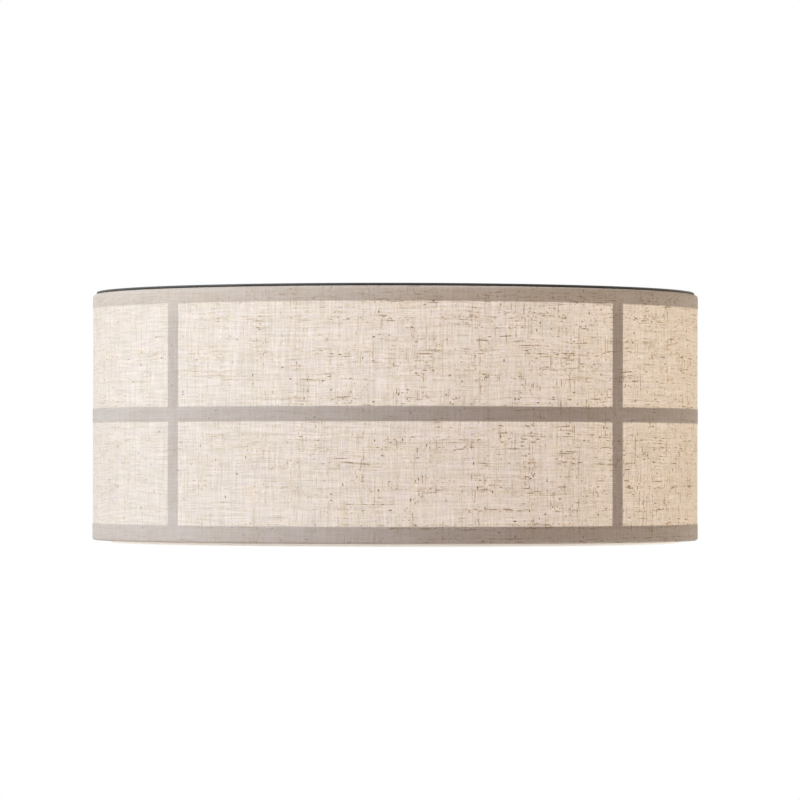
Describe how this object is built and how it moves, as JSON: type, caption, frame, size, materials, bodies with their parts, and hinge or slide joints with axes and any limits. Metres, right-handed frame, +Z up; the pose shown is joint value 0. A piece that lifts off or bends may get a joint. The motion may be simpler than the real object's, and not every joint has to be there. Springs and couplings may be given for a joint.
{
  "type": "flush mount ceiling light",
  "caption": "Shallow linen drum ceiling light on a flat-bar frame with an opal diffuser, hung on a ceiling pan by a bayonet.",
  "frame": {"origin": "on the ceiling plane, on the drum's axis, midway between the crossbar's slotted holes", "axes": "+Z up into the ceiling, -Y towards the viewer of the picture, +X to the viewer's right"},
  "size_m": [0.5, 0.5, 0.2064],
  "materials": {
    "linen": "undyed linen, matt, translucent",
    "lining": "translucent backing film, matt",
    "frame_white": "matt powder coat",
    "pan_charcoal": "matt powder coat",
    "reflector_white": "satin white",
    "opal": "opal acrylic, satin",
    "zinc": "bright zinc plate",
    "brass": "bare",
    "nickel": "nickel plated",
    "porcelain": "white glaze",
    "terminal_plastic": "off-white",
    "bulb_plastic": "white",
    "bulb_opal": "opal, lit",
    "black_insulator": "black",
    "grommet_rubber": "matt",
    "brown_sleeve": "brown insulation",
    "blue_sleeve": "blue insulation",
    "green_yellow_sleeve": "green and yellow insulation"
  },
  "bodies": {
    "base": {"ceiling_pan": "pan_charcoal", "reflector_plate": "reflector_white", "bayonet_studs": "zinc", "mounting_crossbar": "zinc", "pan_screws": "zinc", "holder_nipples": "zinc", "holder_locknuts": "brass", "bracket_screws": "zinc", "lead_grommets": "grommet_rubber", "terminal_block": "terminal_plastic", "terminal_inserts": "brass", "terminal_screws": "zinc", "disc_screws": "zinc", "earth_tag": "brass", "earth_lead": "green_yellow_sleeve", "holder_bracket_1": "zinc", "holder_body_1": "porcelain", "holder_shell_1": "nickel", "holder_contact_1": "brass", "live_lead_1": "brown_sleeve", "neutral_lead_1": "blue_sleeve", "holder_bracket_2": "zinc", "holder_body_2": "porcelain", "holder_shell_2": "nickel", "holder_contact_2": "brass", "live_lead_2": "brown_sleeve", "neutral_lead_2": "blue_sleeve", "holder_bracket_3": "zinc", "holder_body_3": "porcelain", "holder_shell_3": "nickel", "holder_contact_3": "brass", "live_lead_3": "brown_sleeve", "neutral_lead_3": "blue_sleeve"},
    "shade": {"linen_skin": "linen", "shade_lining": "lining", "frame_top_ring": "frame_white", "frame_middle_ring": "frame_white", "frame_bottom_ring": "frame_white", "diffuser_ledge": "frame_white", "hanger_rivets": "zinc", "frame_upright_1": "frame_white", "frame_upright_2": "frame_white", "frame_upright_3": "frame_white", "frame_upright_4": "frame_white", "bayonet_hanger_1": "zinc", "bayonet_hanger_2": "zinc", "bayonet_hanger_3": "zinc"},
    "diffuser": {"diffuser_dish": "opal"},
    "bulb_1_foot": {"bulb_foot_1": "black_insulator"},
    "bulb_1": {"bulb_cap_1": "nickel", "bulb_collar_1": "bulb_plastic", "bulb_dome_1": "bulb_opal"},
    "bulb_2_foot": {"bulb_foot_2": "black_insulator"},
    "bulb_2": {"bulb_cap_2": "nickel", "bulb_collar_2": "bulb_plastic", "bulb_dome_2": "bulb_opal"},
    "bulb_3_foot": {"bulb_foot_3": "black_insulator"},
    "bulb_3": {"bulb_cap_3": "nickel", "bulb_collar_3": "bulb_plastic", "bulb_dome_3": "bulb_opal"}
  },
  "joints": [
    {"name": "shade_twist", "type": "hinge", "parent": "base", "child": "shade", "pos_m": [0, 0, -0.012], "axis": [0, 0, 1], "range_deg": [0, 5]},
    {"name": "diffuser_lift", "type": "slide", "parent": "shade", "child": "diffuser", "axis": [0, 0, 1], "range_m": [0, 0.085]},
    {"name": "bulb_1_travel", "type": "slide", "parent": "base", "child": "bulb_1_foot", "axis": [0, 1, 0], "range_m": [0, 0.01089]},
    {"name": "bulb_1_unscrew", "type": "hinge", "parent": "bulb_1_foot", "child": "bulb_1", "pos_m": [0, 0, -0.068], "axis": [0, 1, 0], "range_deg": [0, 1080]},
    {"name": "bulb_2_travel", "type": "slide", "parent": "base", "child": "bulb_2_foot", "axis": [-0.866, -0.5, 0], "range_m": [0, 0.01089]},
    {"name": "bulb_2_unscrew", "type": "hinge", "parent": "bulb_2_foot", "child": "bulb_2", "pos_m": [0, 0, -0.068], "axis": [-0.866, -0.5, 0], "range_deg": [0, 1080]},
    {"name": "bulb_3_travel", "type": "slide", "parent": "base", "child": "bulb_3_foot", "axis": [0.866, -0.5, 0], "range_m": [0, 0.01089]},
    {"name": "bulb_3_unscrew", "type": "hinge", "parent": "bulb_3_foot", "child": "bulb_3", "pos_m": [0, 0, -0.068], "axis": [0.866, -0.5, 0], "range_deg": [0, 1080]}
  ],
  "couplings": [
    {"joint": "bulb_1_unscrew", "follows": "bulb_1_travel", "rad_per_m": 1731.4},
    {"joint": "bulb_2_unscrew", "follows": "bulb_2_travel", "rad_per_m": 1731.4},
    {"joint": "bulb_3_unscrew", "follows": "bulb_3_travel", "rad_per_m": 1731.4}
  ]
}
